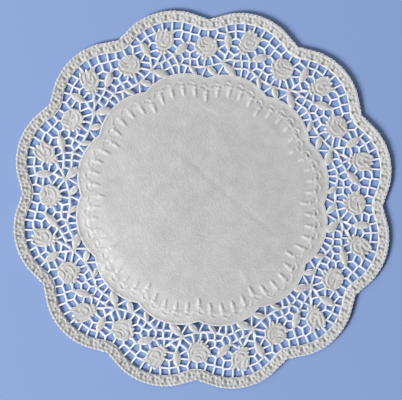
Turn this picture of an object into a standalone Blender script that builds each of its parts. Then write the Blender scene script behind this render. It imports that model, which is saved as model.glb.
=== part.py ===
"""A round paper lace doily, lying flat: one sheet, pierced as a net, with roses and leaves raised.

The pattern is one repeat, a scallop of the edge with all that lies under it, turned twelve times
about the centre. Inside a repeat a place is given by two distances from the doily's centre:
"across", to the right of the scallop's axis, and "out", along that axis towards its tip.
"""

import math
from collections import namedtuple

import bmesh
import bpy
import numpy as np
from mathutils import Matrix, Vector
from mathutils.geometry import delaunay_2d_cdt

# Driving dimensions, in metres.
TIP_RADIUS = 0.150          # from the centre to the tip of a scallop
REPEATS = 12
LOBE_RADIUS = 0.0494        # of the round edge of one scallop
LOBE_BLEND = 0.007          # how softly two scallops run into each other
BORDER_WIDTH = 0.00875      # of the solid band along the edge
BORDER_BLEND = 0.011
DISC_RADIUS = 0.0997        # of the solid middle, at the tip of one of its own scallops
DISC_LOBE_RADIUS = 0.0393
DISC_MARGIN = 0.0007        # from the middle's edge to the openings
SHEET = 0.001               # thickness of the flat sheet
BAR = 0.0016                # width of the net's bars
MOTIF_MARGIN = 0.00025      # flat paper around a rose or a leaf
OPENINGS_CUT = 25           # in each repeat, the largest ones
OUTLINE_STEPS = 16          # points along one scallop
OUTLINE_PRECISION = 1e-6
SMALLEST_CORNER = 0.55e-6   # an opening keeps a corner that takes up more than this area, in m2
MOST_CORNERS = 5
RAYS = 48                   # that feel out an opening's outline from its middle
RAY_STEP = 0.00006
LONGEST_RAY = 0.009
NEIGHBOUR_REACH = 0.02      # openings further apart than this share no bar
EDGE_ROOM = 0.0002          # from a raised point to the nearest opening
SAME_PLACE = 1e-7           # two corners nearer than this are one
ALL_TRIANGLES = 0           # the kind of result that the triangulation is asked for
CUP_CORNERS = 8
CUP_TOP = 0.84              # share of a cup's radius where its sloping side ends
PAPER_WHITE = (0.78, 0.77, 0.74, 1)
PAPER_ROUGHNESS = 0.85

# Heights above the sheet's flat top.
CUP_HEIGHT = 0.0005
PETAL_HEIGHT = 0.0010
LEAF_HEIGHT = 0.0009
DROP_HEIGHT = 0.0008

TURN = 2 * math.pi / REPEATS

# Where the ridge of a raised form has its points: how far along the form each lies, and its share
# of the form's full height and width.
Station = namedtuple("Station", "along share")
LEAF_STATIONS = [Station(0.22, 0.7), Station(0.5, 1), Station(0.78, 0.7)]
PETAL_STATIONS = [Station(0.5, 1)]
DROP_STATIONS = [Station(0.3, 1)]


def metres(rows):
    """The rows of a chart that is drawn in millimetres, in metres."""
    return [type(row)(*(value * 0.001 for value in row)) for row in rows]


# The openings of one repeat: each is what the net's bars leave free around one of these places.
Place = namedtuple("Place", "across out")
OPENINGS = metres([
    # along the border
    Place(-30.0, 126.5), Place(-24.0, 131.0), Place(-18.0, 134.5), Place(-11.0, 137.0),
    Place(-4.5, 139.0), Place(4.0, 138.5), Place(11.0, 136.5), Place(18.5, 133.5),
    Place(24.5, 130.0), Place(30.0, 126.5),
    # on both sides of the rosebud
    Place(-15.0, 129.0), Place(-10.0, 131.0), Place(-11.0, 124.5), Place(-10.5, 118.5),
    Place(10.0, 129.5), Place(15.5, 126.5), Place(22.0, 123.5), Place(9.0, 123.5),
    Place(3.0, 119.0),
    # around the open rose
    Place(-23.5, 125.5), Place(-22.5, 120.5), Place(-18.0, 116.5), Place(-20.0, 111.5),
    Place(-22.0, 107.0), Place(-27.0, 104.0), Place(17.5, 117.5), Place(19.0, 111.0),
    Place(23.0, 105.5), Place(17.5, 105.5),
    # between the stems
    Place(-13.0, 113.0), Place(-6.5, 114.0), Place(-1.0, 115.5), Place(-11.0, 108.5),
    Place(-4.0, 108.5), Place(1.5, 110.0), Place(7.0, 111.5), Place(12.5, 113.0),
    Place(12.0, 107.0),
    # along the solid middle
    Place(-25.0, 94.5), Place(-19.0, 101.5), Place(-13.0, 100.0), Place(-2.5, 103.0),
    Place(2.5, 103.5), Place(7.5, 102.5), Place(11.5, 100.0), Place(20.5, 98.5),
])

# The leaves of one repeat, from tip to tip.
Leaf = namedtuple("Leaf", "across out to_across to_out width")
LEAVES = metres([
    Leaf(-19.0, 130.0, -15.0, 117.5, 5.6),
    Leaf(4.5, 115.0, 17.5, 122.0, 5.8),
    Leaf(-14.0, 106.7, -4.5, 100.2, 6.0),
    Leaf(-26.5, 100.0, -18.5, 95.7, 4.4),
    Leaf(14.0, 103.8, 17.4, 96.3, 3.4),
])

# The two roses of one repeat: a round cup, and the petals and sepals that stand on it or reach
# past it, each from tip to tip and measured from its cup's centre.
Cup = namedtuple("Cup", "across out radius")
Petal = namedtuple("Petal", "across out to_across to_out width")
BUD, ROSE = metres([Cup(-0.7, 128.0, 7.0), Cup(-31.8, 114.7, 8.0)])
BUD_PETALS = metres([
    Petal(-6.2, 1.4, -2.0, 9.2, 2.4),
    Petal(1.5, 2.9, 3.2, 8.4, 2.8),
    Petal(1.7, 2.7, 7.0, 5.6, 2.6),
    Petal(-4.0, -2.2, 3.4, -2.0, 4.2),
    Petal(-7.6, -5.6, -1.2, -9.4, 3.2),
])
ROSE_PETALS = metres([
    Petal(-4.9, 5.0, 3.2, 7.1, 4.6),
    Petal(-6.2, 2.7, -2.6, -2.8, 3.0),
    Petal(5.4, 1.0, 0.0, -4.0, 3.2),
    Petal(2.9, 3.2, -0.8, 0.2, 2.2),
    Petal(-6.4, -4.4, -2.4, -7.0, 3.4),
    Petal(-0.4, -6.6, -1.0, -10.2, 2.2),
    Petal(2.2, -6.4, 2.7, -9.8, 2.2),
])

# The stems of one repeat, as the places that each passes through.
STEM = 0.0015
STEMS = [
    metres([Place(-16.2, 106.9), Place(-15.2, 112.1), Place(-15.0, 118.0)]),
    metres([Place(-16.2, 106.9), Place(-12.0, 110.5), Place(-6.7, 116.6), Place(-4.4, 120.0)]),
    metres([Place(-12.0, 110.5), Place(-9.3, 111.1), Place(-2.9, 112.4), Place(5.2, 115.3)]),
    metres([Place(-16.2, 106.9), Place(-6.0, 105.2), Place(0.0, 106.7), Place(6.0, 107.0),
            Place(13.4, 103.9), Place(19.3, 101.5), Place(25.0, 100.4), Place(31.6, 100.3),
            Place(39.4, 100.6)]),
]

# The drops pressed around the middle, five to a repeat: the angle from the scallop's axis, and the
# distance of the outer end, all on one wavy line.
Drop = namedtuple("Drop", "degrees out")
DROPS = [Drop(-15, 0.0858), Drop(-9, 0.0898), Drop(-3, 0.0910), Drop(3, 0.0910), Drop(9, 0.0898)]
DROP_LENGTH = 0.0105
DROP_WIDTH = 0.0034


# ---------------------------------------------------------------- the flat pattern

def lobe_distance(across, out, centre, blend):
    """Distance to the nearest of the twelve lobe centres, softened where two are equally near."""
    reach = np.hypot(across, out)
    turn = np.arctan2(across, out)
    turn = np.abs((turn + TURN / 2) % TURN - TURN / 2)
    near = np.hypot(reach * np.sin(turn), reach * np.cos(turn) - centre)
    far = np.hypot(reach * np.sin(TURN - turn), reach * np.cos(TURN - turn) - centre)
    if not blend:
        return near
    overlap = np.maximum(blend - (far - near), 0) / blend
    return near - overlap ** 2 * blend / 4


def segment_distance(across, out, start, end):
    """Distance to a straight line between two places."""
    run = np.array(end) - np.array(start)
    along = ((across - start[0]) * run[0] + (out - start[1]) * run[1]) / run.dot(run)
    along = np.clip(along, 0, 1)
    return np.hypot(across - start[0] - along * run[0], out - start[1] - along * run[1])


def lens_distance(across, out, start, end, width):
    """Distance outside a leaf's or petal's form, which two equal arcs bound from tip to tip."""
    half = np.linalg.norm(end - start) / 2
    radius = (half ** 2 + width ** 2 / 4) / width
    middle = (start + end) / 2
    axis = (end - start) / (2 * half)
    along = (across - middle[0]) * axis[0] + (out - middle[1]) * axis[1]
    aside = np.abs((out - middle[1]) * axis[0] - (across - middle[0]) * axis[1])
    return np.hypot(along, aside + radius - width / 2) - radius


def tips(form, cup=Cup(0, 0, 0)):
    """The two tips of a leaf, or of a petal of the rose with this cup."""
    middle = np.array([cup.across, cup.out])
    return middle + (form.across, form.out), middle + (form.to_across, form.to_out)


def rose_distance(across, out, cup, petals):
    """Distance outside a rose's cup and petals."""
    outside = np.hypot(across - cup.across, out - cup.out) - cup.radius
    for petal in petals:
        form = lens_distance(across, out, *tips(petal, cup), petal.width)
        outside = np.minimum(outside, form)
    return outside


def turned(across, out, turns):
    """The same place as seen from the repeat that lies so many turns clockwise."""
    angle = turns * TURN
    return (across * math.cos(angle) - out * math.sin(angle),
            across * math.sin(angle) + out * math.cos(angle))


def motif_distance(across, out):
    """Distance outside every rose, leaf and stem, those of both neighbours included."""
    outside = np.full(np.shape(across), TIP_RADIUS)
    for turns in (-1, 0, 1):
        here, up = turned(across, out, turns)
        for leaf in LEAVES:
            outside = np.minimum(outside, lens_distance(here, up, *tips(leaf), leaf.width))
        outside = np.minimum(outside, rose_distance(here, up, BUD, BUD_PETALS))
        outside = np.minimum(outside, rose_distance(here, up, ROSE, ROSE_PETALS))
        for stem in STEMS:
            for start, end in zip(stem, stem[1:]):
                run = segment_distance(here, up, start, end)
                outside = np.minimum(outside, run - STEM / 2)
    return outside


def bar_distance(across, out, own):
    """Distance from the net's bars, which run halfway between an opening and its neighbours."""
    nearest = np.full(np.shape(across), TIP_RADIUS)
    from_own = (across - own.across) ** 2 + (out - own.out) ** 2
    for turns in (-1, 0, 1):
        for place in OPENINGS:
            other = Place(*turned(*place, turns))
            apart = math.dist(own, other)
            if 0 < apart < NEIGHBOUR_REACH:
                from_other = (across - other.across) ** 2 + (out - other.out) ** 2
                nearest = np.minimum(nearest, (from_other - from_own) / (2 * apart))
    return nearest - BAR / 2


def room(across, out, own):
    """How far a place inside an opening is from the paper around it; negative in the paper."""
    from_lobe = lobe_distance(across, out, TIP_RADIUS - LOBE_RADIUS, BORDER_BLEND)
    from_disc_lobe = lobe_distance(across, out, DISC_RADIUS - DISC_LOBE_RADIUS, 0)
    return np.minimum.reduce([
        LOBE_RADIUS - BORDER_WIDTH - from_lobe,
        from_disc_lobe - DISC_LOBE_RADIUS - DISC_MARGIN,
        motif_distance(across, out) - MOTIF_MARGIN,
        bar_distance(across, out, own),
    ])


def repeat_matrix(repeat):
    """From across, out and up in one repeat to X, Y and Z; the first scallop's tip is on +X."""
    return Matrix.Rotation(TURN * repeat - math.pi / 2, 4, "Z")


def polygon_area(corners):
    """Area of a closed outline."""
    total = 0
    for (x0, y0), (x1, y1) in zip(corners, corners[1:] + corners[:1]):
        total += x0 * y1 - x1 * y0
    return abs(total) / 2


def simplified(corners):
    """Drop the corners that take up least area, until each one left is worth keeping."""
    corners = list(corners)
    while len(corners) > 3:
        areas = [polygon_area([corners[i - 1], corners[i], corners[(i + 1) % len(corners)]])
                 for i in range(len(corners))]
        least = min(areas)
        if least > SMALLEST_CORNER and len(corners) <= MOST_CORNERS:
            break
        corners.pop(areas.index(least))
    return corners


def opening_outline(place):
    """The corners of the opening around a place, found along rays that run out from it."""
    angles = np.linspace(0, 2 * math.pi, RAYS, endpoint=False)[:, None]
    steps = np.arange(0, LONGEST_RAY, RAY_STEP)[None, :]
    across = place.across + steps * np.cos(angles)
    out = place.out + steps * np.sin(angles)
    stops = np.argmax(room(across, out, place) <= 0, axis=1)
    return simplified([(across[ray, stop], out[ray, stop]) for ray, stop in enumerate(stops)])


def edge_outline():
    """The doily's scalloped outline, as places around the whole sheet, anticlockwise."""
    corners = []
    for step in range(REPEATS * OUTLINE_STEPS):
        turn = -TURN * step / OUTLINE_STEPS
        low = TIP_RADIUS - LOBE_RADIUS
        high = TIP_RADIUS + LOBE_BLEND
        while high - low > OUTLINE_PRECISION:
            middle = (low + high) / 2
            inside = lobe_distance(middle * math.sin(turn), middle * math.cos(turn),
                                   TIP_RADIUS - LOBE_RADIUS, LOBE_BLEND) < LOBE_RADIUS
            low, high = (middle, high) if inside else (low, middle)
        corners.append((low * math.sin(turn), low * math.cos(turn)))
    return corners


# ---------------------------------------------------------------- the raised forms

# One raised point: its place in the repeat, in metres, and its height above the sheet's top.
Raised = namedtuple("Raised", "across out height")


def cup_height(cup, across, out):
    """Height of a rose's cup, a low boss with sloping sides, at some place on or off it."""
    if cup is None:
        return 0
    reach = math.hypot(across - cup.across, out - cup.out) / cup.radius
    return CUP_HEIGHT * min(1, max(0, (1 - reach) / (1 - CUP_TOP)))


def pod(start, end, width, height, stations, cup=None):
    """The raised points of a domed form that is pointed at both ends.

    Each station has a point on the form's ridge and one at each side, where the form meets the
    sheet, or the cup that a petal stands on.
    """
    run = end - start
    aside = np.array([-run[1], run[0]]) / np.linalg.norm(run) * width / 2
    ridge = []
    foot = [start, end]
    for along, share in stations:
        middle = start + run * along
        ridge.append(Raised(*middle, height * share))
        foot += [middle + aside * share, middle - aside * share]
    return ridge + [Raised(*place, cup_height(cup, *place)) for place in foot]


def leaf_points(leaf):
    """A smooth domed leaf."""
    return pod(*tips(leaf), leaf.width, LEAF_HEIGHT, LEAF_STATIONS)


def drop_points(drop):
    """One pressed drop, pointing at the doily's centre."""
    turn = math.radians(drop.degrees)
    outward = np.array([math.sin(turn), math.cos(turn)])
    outer = outward * drop.out
    return pod(outer, outer - outward * DROP_LENGTH, DROP_WIDTH, DROP_HEIGHT, DROP_STATIONS)


def rose_points(cup, petals):
    """A rose's round cup, and the petals on it."""
    points = []
    for corner in range(CUP_CORNERS):
        angle = 2 * math.pi * corner / CUP_CORNERS
        for share in (1, CUP_TOP):
            place = (cup.across + cup.radius * share * math.cos(angle),
                     cup.out + cup.radius * share * math.sin(angle))
            points.append(Raised(*place, cup_height(cup, *place)))
    for petal in petals:
        points += pod(*tips(petal, cup), petal.width, PETAL_HEIGHT, PETAL_STATIONS, cup)
    return points


def raised_points():
    """All raised points of one repeat."""
    points = []
    for leaf in LEAVES:
        points += leaf_points(leaf)
    for drop in DROPS:
        points += drop_points(drop)
    points += rose_points(BUD, BUD_PETALS)
    points += rose_points(ROSE, ROSE_PETALS)
    return points


# ---------------------------------------------------------------- the solid

def filled(loops, points):
    """Triangles between the first loop and the others, which are openings, through all points.

    They are given as triples of places in the list of all loops' corners and then the points.
    Every loop runs anticlockwise, which tells the triangulation what lies inside it.
    """
    places = [Vector(corner) for loop in loops for corner in loop]
    places += [Vector(point[:2]) for point in points]
    rims = []
    first = 0
    for loop in loops:
        rims.append(list(range(first, first + len(loop))))
        first += len(loop)
    triangulated = delaunay_2d_cdt(places, [], rims, ALL_TRIANGLES, SAME_PLACE)
    _, _, faces, corner_sources, _, rims_around = triangulated
    return [[corner_sources[corner][0] for corner in face]
            for face, around in zip(faces, rims_around) if around == [0]]


def embossed_sheet(loops, points):
    """The closed solid: a flat underside, upright edges and a top with raised points.

    Its two faces are triangulated at once, openings and relief together: joining the raised forms
    to a plain sheet would break the paper between three hundred openings into slivers.
    """
    shape = bmesh.new()
    corners = [corner for loop in loops for corner in loop]
    top = [shape.verts.new((*corner, SHEET)) for corner in corners]
    bottom = [shape.verts.new((*corner, 0)) for corner in corners]
    raised = [shape.verts.new((x, y, SHEET + z)) for x, y, z in points]
    for face in filled(loops, points):
        shape.faces.new([(top + raised)[corner] for corner in face])
    for face in filled(loops, []):
        shape.faces.new([bottom[corner] for corner in reversed(face)])
    first = 0
    for loop in loops:
        for corner in range(len(loop)):
            here = first + corner
            after = first + (corner + 1) % len(loop)
            shape.faces.new((bottom[here], bottom[after], top[after], top[here]))
        first += len(loop)
    bmesh.ops.recalc_face_normals(shape, faces=shape.faces)
    mesh = bpy.data.meshes.new("doily")
    shape.to_mesh(mesh)
    shape.free()
    return mesh


def clear_of(outlines, point):
    """Whether a raised point is on paper, far enough from every opening of its own repeat."""
    for outline in outlines:
        inside = False
        for (x0, y0), (x1, y1) in zip(outline, outline[1:] + outline[:1]):
            if float(segment_distance(point.across, point.out, (x0, y0), (x1, y1))) < EDGE_ROOM:
                return False
            if (y0 > point.out) != (y1 > point.out):
                crossing = x0 + (point.out - y0) / (y1 - y0) * (x1 - x0)
                inside = inside != (point.across < crossing)
        if inside:
            return False
    return True


def build_doily():
    """The whole sheet, from one repeat's openings and raised points."""
    outlines = sorted((opening_outline(place) for place in OPENINGS), key=polygon_area)
    outlines = outlines[-OPENINGS_CUT:]
    neighbours = [[turned(*corner, turns) for corner in outline]
                  for outline in outlines for turns in (-1, 0, 1)]
    raised = [point for point in raised_points() if clear_of(neighbours, point)]
    loops = [edge_outline()]
    points = []
    for repeat in range(REPEATS):
        matrix = repeat_matrix(repeat)
        for outline in outlines:
            loops.append([(matrix @ Vector((*corner, 0))).xy for corner in outline])
        points += [matrix @ Vector(point) for point in raised]
    return bpy.data.objects.new("doily", embossed_sheet(loops, points))


def paper():
    """White embossing paper: matt, a little warm."""
    material = bpy.data.materials.new("white_paper")
    material.use_nodes = True
    shader = material.node_tree.nodes["Principled BSDF"]
    shader.inputs["Base Color"].default_value = PAPER_WHITE
    shader.inputs["Roughness"].default_value = PAPER_ROUGHNESS
    shader.inputs["Metallic"].default_value = 0
    return material


def main():
    for existing in list(bpy.data.objects):
        bpy.data.objects.remove(existing)
    collection = bpy.data.collections.new("paper_lace_doily")
    bpy.context.scene.collection.children.link(collection)
    doily = build_doily()
    doily.data.materials.append(paper())
    collection.objects.link(doily)


main()
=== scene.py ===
"""A round lace doily of white embossing paper, lying flat, face up.

It is one sheet, cut through and pressed in a single stroke. The pattern is one repeat, a scallop
of the edge with all that lies under it, turned twelve times about the middle. Inside a repeat a
place is given by two lengths from the doily's centre: "across", to the right of the scallop's axis,
and "out", along that axis towards its tip. Lengths are in millimetres until the sheet is made.
"""

import math
from collections import namedtuple
from itertools import combinations

import bpy
import numpy as np
from mathutils import Matrix, Vector
from mathutils.geometry import delaunay_2d_cdt


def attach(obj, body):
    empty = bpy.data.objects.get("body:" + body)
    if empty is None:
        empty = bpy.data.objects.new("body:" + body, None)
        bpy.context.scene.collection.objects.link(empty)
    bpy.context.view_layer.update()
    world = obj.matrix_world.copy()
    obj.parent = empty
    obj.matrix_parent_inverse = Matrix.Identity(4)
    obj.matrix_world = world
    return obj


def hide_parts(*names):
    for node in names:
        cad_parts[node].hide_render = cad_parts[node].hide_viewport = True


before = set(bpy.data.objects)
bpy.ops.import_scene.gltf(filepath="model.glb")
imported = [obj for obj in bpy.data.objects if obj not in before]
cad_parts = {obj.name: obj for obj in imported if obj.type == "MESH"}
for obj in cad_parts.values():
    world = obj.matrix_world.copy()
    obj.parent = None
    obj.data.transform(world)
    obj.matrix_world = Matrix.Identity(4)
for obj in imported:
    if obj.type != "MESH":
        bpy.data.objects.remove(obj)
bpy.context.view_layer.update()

MM = 0.001

# -------- sizes

REPEATS = 12
TURN = 2 * math.pi / REPEATS
TIP_RADIUS = 150.0       # from the centre to the tip of a scallop
LOBE_RADIUS = 49.4       # of the round edge of one scallop
LOBE_BLEND = 7.0         # how softly two scallops run into each other
EDGE_NOTCH = 0.45        # how far the edge draws in between two of its pearls
BORDER_WIDTH = 8.75      # of the beaded band along the edge
BORDER_BLEND = 11.0
DISC_RADIUS = 99.7       # of the solid middle, at the tip of one of its own scallops
DISC_LOBE_RADIUS = 39.3
DISC_MARGIN = 0.45       # from the middle's edge to the openings
BAR = 1.24               # width of the net's bars
BESIDE_STEM = 0.20       # what is left of half a bar where a stem takes its place
MOTIF_MARGIN = 0.22      # flat paper around a rose or a leaf
CORNER_ROUND = 0.14      # how much an opening's corners are rounded
PAPER = 0.25             # thickness of the pressed paper
FLAT = 0.93              # height of the unpressed paper's top above the table
PRESSING = 0.70          # share of the charted heights that the paper has kept
BAR_HEIGHT = 0.20
BAR_FADE = 0.5           # over which a bar sinks into the motif it meets
BAR_STEP = 0.25          # at which a bar is looked along
SHORTEST_BAR = 0.4
KNOT_HEIGHT = 0.34       # where the net's bars meet
KNOT_RADIUS = 0.95
KNOT_GAP = 0.5           # bars' ends closer together than this share a knot
KNOT_REACH = 0.2         # how far inside a motif a knot's middle may lie
THINNEST = 0.05          # half width of a form where it runs out
RIM_HEIGHT = 0.36        # of the raised line along the middle's edge
RIM_INSET = 0.55         # from the middle's edge to that line
RIM_HALF = 0.62
DOME_HEIGHT = 2.5        # how far the middle lies proud of the lace
DOME_RADIUS = 104.0
DOME_FULLNESS = 1.3      # 1 is a plain wave; above it the top is broader
LACE_RISE = 0.35         # how far the lace rises from there to the border
EDGE_LIFT = 1.05         # and how far the edge curls up, over the width of the border
WAVE_HEIGHT = 0.06       # of the slow waves of loose paper
SWELL_HEIGHT = 0.08      # of the broad, low swell inside the ring of drops
SWELL_RADIUS = 78.0
SWELL_HALF = 3.0

NEIGHBOUR_REACH = 14.0   # openings further apart than this share no bar
RAYS = 72                # that feel out an opening's outline from its middle
RAY_STEPS = 30
RAY_STEP = 0.9           # share of the room ahead that a ray takes at each step
HALVINGS = 16            # that find how far out an edge lies
SMALLEST_CORNER = 0.040  # an opening keeps a corner that takes up more than this area
OUTER_EDGE = (120.0, 160.0)     # the distances out that the doily's edge lies between
MIDDLE_EDGE = (70.0, 110.0)     # and its middle's edge
EDGE_CORNERS = 126       # along one scallop of the edge
EDGE_RIM = 0.30          # of flat paper outside an outer pearl
CUT_ROOM = 0.22          # from a corner on the paper to the nearest cut
RIM_CORNERS = 44         # along the middle's edge, in one repeat
FILL = 1.6               # spacing of the corners that fill flat paper
ROW = 0.87               # from row to row of them, as a share of that
HALF_REPEAT = 42.0       # a little over half a repeat's width
MIDDLE_RADIUS = 74.0     # of the plain middle, inside the ring of drops
MIDDLE_FILL = 3.5        # spacing of the corners there

# The gaps that the sheet's corners keep: on a form's line, on the net's bars, at a form's foot, on
# flat paper, along a crease and in the plain middle.
RIDGE_GAP, NET_GAP, FOOT_GAP, FLAT_GAP, CREASE_GAP, MIDDLE_GAP = 0.40, 0.60, 0.52, 1.05, 0.75, 2.2

LIGHT_REACHES = (0.6, 1.2, 1.8, 2.4)    # how far around a place the openings are felt
LIGHT_DIRECTIONS = 12
LIGHT_SPREAD = 1.2
LIGHT_START = 0.27       # share of openings around a place from which its paper gets a painted highlight
LIGHT_FULL = 0.49        # and from which that painted highlight is full
DROP_LIGHT = 0.32        # how strong the painted highlight on the top of a drop is; on the net's bars it is 1
RIM_LIGHT = 0.55         # and on the middle's edge
PIT_FADE = 1.5           # above 1, a pit's painted shade is dark at its bottom alone

PAPER_TONE = "#C9C9C8"
PAPER_SHADE = "#B5B5B4"
PAPER_HIGHLIGHT = "#F4F6FC"    # painted highlight on the net's bars, the middle's edge and the tops of the drops
PAPER_PIT_SHADE = "#7C7D81"   # painted shade at the bottom of a pit
TABLE_BLUE = "#859ECF"
STUDIO_WHITE = "#F4F6FA"
STUDIO_STRENGTH = 0.18
CLOUDS = 80              # a metre: the pulp's clouds are 12 mm across
GRAINS = 650             # a metre: fibres bunch into grains 1.5 mm across
GRAIN_DEPTH = 0.3

# The studio, in metres. A lamp's angle around the doily is in degrees, and 0 is +X.
TABLE_HALF = 2.0
Lamp = namedtuple("Lamp", "angle elevation distance size watts")
KEY_LAMP = Lamp(200.0, 28.0, 5.0, 1.7, 410.0)
FILL_LAMP = Lamp(127.0, 45.0, 1.5, 0.9, 5.0)
CAMERA_TURN = 13.0
CAMERA_HEIGHT = 1.5
FRAME_WIDTH = 0.3136
CAMERA_ASIDE = (-1.2, -0.3, 0.0)        # in millimetres, as the next one is
SENSOR = 36.0

# -------- the chart of one repeat

# The openings: each is what the net's bars leave free around one of these places, across and out.
OPENINGS = [
    # along the border
    (-30.0, 126.5), (-24.0, 131.0), (-18.0, 134.5), (-11.0, 137.0), (-4.5, 139.0), (4.0, 138.5),
    (11.0, 136.5), (18.5, 133.5), (24.5, 130.0), (30.0, 126.5),
    # on both sides of the rosebud
    (-15.0, 129.0), (-10.0, 131.0), (-11.0, 124.5), (-10.5, 118.5), (10.0, 129.5), (15.5, 126.5),
    (22.0, 123.5), (9.0, 123.5), (3.0, 119.0),
    # around the open rose
    (-23.5, 125.5), (-22.5, 120.5), (-18.0, 116.5), (-20.0, 111.5), (-22.0, 107.0), (-27.0, 104.0),
    (17.5, 117.5), (19.0, 111.0), (23.0, 105.5), (17.5, 105.5),
    # between the stems
    (-13.0, 113.0), (-6.5, 114.0), (-1.0, 115.5), (-11.0, 108.5), (-4.0, 108.5), (1.5, 110.0),
    (7.0, 111.5), (12.5, 113.0), (12.0, 107.0),
    # along the solid middle
    (-25.0, 94.5), (-19.0, 101.5), (-13.0, 100.0), (-2.5, 103.0), (2.5, 103.5), (7.5, 102.5),
    (11.5, 100.0), (20.5, 98.5),
]

# The leaves, from tip to tip; the broad ones have a hollow along the midrib.
Leaf = namedtuple("Leaf", "across out to_across to_out width height hollow")
LEAVES = [
    Leaf(-19.0, 130.0, -15.0, 118.2, 5.6, 1.40, 0.75),
    Leaf(5.2, 115.3, 15.6, 121.2, 5.8, 1.40, 0.75),
    Leaf(-14.0, 105.6, -4.4, 100.1, 5.8, 1.40, 0.75),
    Leaf(-26.4, 100.3, -18.4, 96.0, 4.4, 0.95, 0.20),
    Leaf(13.7, 103.7, 17.1, 96.2, 3.4, 1.00, 0.00),
]
HOLLOW_WIDTH = 0.40         # as a share of the leaf's
HOLLOW_ENDS = (0.22, 0.72)  # as shares of its length

# The stems, as the places that each passes through, and the knots on them.
Stem = namedtuple("Stem", "width places")
STEMS = [
    Stem(0.80, [(-16.2, 106.9), (-15.2, 112.1), (-14.9, 117.6)]),
    Stem(0.90, [(-16.2, 106.9), (-12.0, 110.5), (-6.7, 116.6), (-4.4, 119.9)]),
    Stem(0.80, [(-12.0, 110.5), (-9.3, 111.1), (-2.9, 112.4), (3.8, 114.6), (5.2, 115.3)]),
    Stem(0.85, [(-16.2, 106.9), (-6.1, 105.2), (0.0, 106.7), (6.0, 107.0), (13.4, 103.9),
               (19.3, 101.5), (25.0, 100.4), (31.6, 100.3), (39.4, 100.6)]),
]
STEM_HEIGHT = 0.32
Bead = namedtuple("Bead", "across out radius height")
KNOTS = [
    Bead(3.9, 114.6, 1.6, 1.30), Bead(5.6, 106.8, 1.5, 1.10), Bead(-16.4, 106.8, 1.5, 0.55),
    Bead(-0.1, 106.5, 0.9, 0.85), Bead(-6.9, 110.9, 0.9, 0.85), Bead(-1.9, 112.2, 0.9, 0.75),
    Bead(15.7, 109.4, 0.9, 0.60), Bead(16.9, 121.8, 1.1, 0.50),
]

# The two roses: a round cup, the folds and grooves pressed on it, and the beads around it. All are
# measured from the rose's middle.
Rose = namedtuple("Rose", "across out cup_radius")
Fold = namedtuple("Fold", "width height places")
BUD = Rose(-0.7, 128.1, 7.0)
BUD_FOLDS = [
    Fold(1.5, 0.80, [(-6.0, 0.8), (-5.6, 3.2), (-4.4, 5.6), (-2.2, 8.2)]),    # left sepal
    Fold(1.7, 0.85, [(-4.1, -0.4), (-2.9, 2.2), (-1.4, 4.1)]),
    Fold(1.3, 0.60, [(0.5, 9.6), (0.2, 7.6), (-0.2, 6.2)]),
    Fold(2.3, 1.10, [(3.1, 7.3), (2.9, 6.0)]),                                # the two inner petals
    Fold(1.7, 1.00, [(6.3, 5.2), (4.2, 4.0), (1.6, 2.6)]),
    Fold(1.5, 0.80, [(9.6, 4.9), (7.5, 3.7), (6.3, 1.6), (5.9, -1.3), (4.4, -4.0)]),
    Fold(1.6, 0.75, [(-7.2, -3.9), (-4.2, -5.3), (-1.8, -6.4), (0.4, -6.8), (2.4, -6.1),
                     (4.4, -5.3), (6.0, -5.8)]),
    Fold(1.8, 0.80, [(-2.6, -1.6), (-2.2, -3.0), (-0.3, -4.2), (1.8, -2.9), (3.0, -1.2),
                     (3.5, 0.6)]),
    Fold(1.3, 0.95, [(-1.0, 0.5), (0.4, 0.8), (1.7, 1.1)]),                   # the heart
    Fold(1.6, 0.85, [(-7.1, -0.7), (-6.0, -2.2)]),
    Fold(1.2, -0.50, [(-4.6, 1.2), (-3.5, 3.9), (-1.5, 6.9)]),                # the grooves
    Fold(1.2, -0.75, [(-0.4, 1.8), (0.0, 3.2)]),
    Fold(1.3, -0.85, [(0.9, 6.4), (1.0, 4.6)]),
    Fold(1.0, -0.35, [(2.6, 1.5), (4.6, 2.2), (6.0, 3.6)]),
    Fold(1.3, -0.60, [(4.9, 1.2), (4.4, -1.6), (2.8, -4.3), (-0.3, -5.4), (-2.8, -4.4),
                      (-4.0, -2.2)]),
    Fold(1.1, -0.65, [(-1.0, -0.7), (0.5, -0.9), (2.2, -0.4)]),
]
BUD_BEADS = [
    Bead(-6.7, -7.0, 1.3, 1.00), Bead(-4.5, -8.6, 1.2, 1.10), Bead(-1.9, -9.4, 1.3, 1.20),
    Bead(-2.0, 8.1, 1.1, 1.10),
]
ROSE = Rose(-31.8, 114.7, 8.0)
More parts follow.
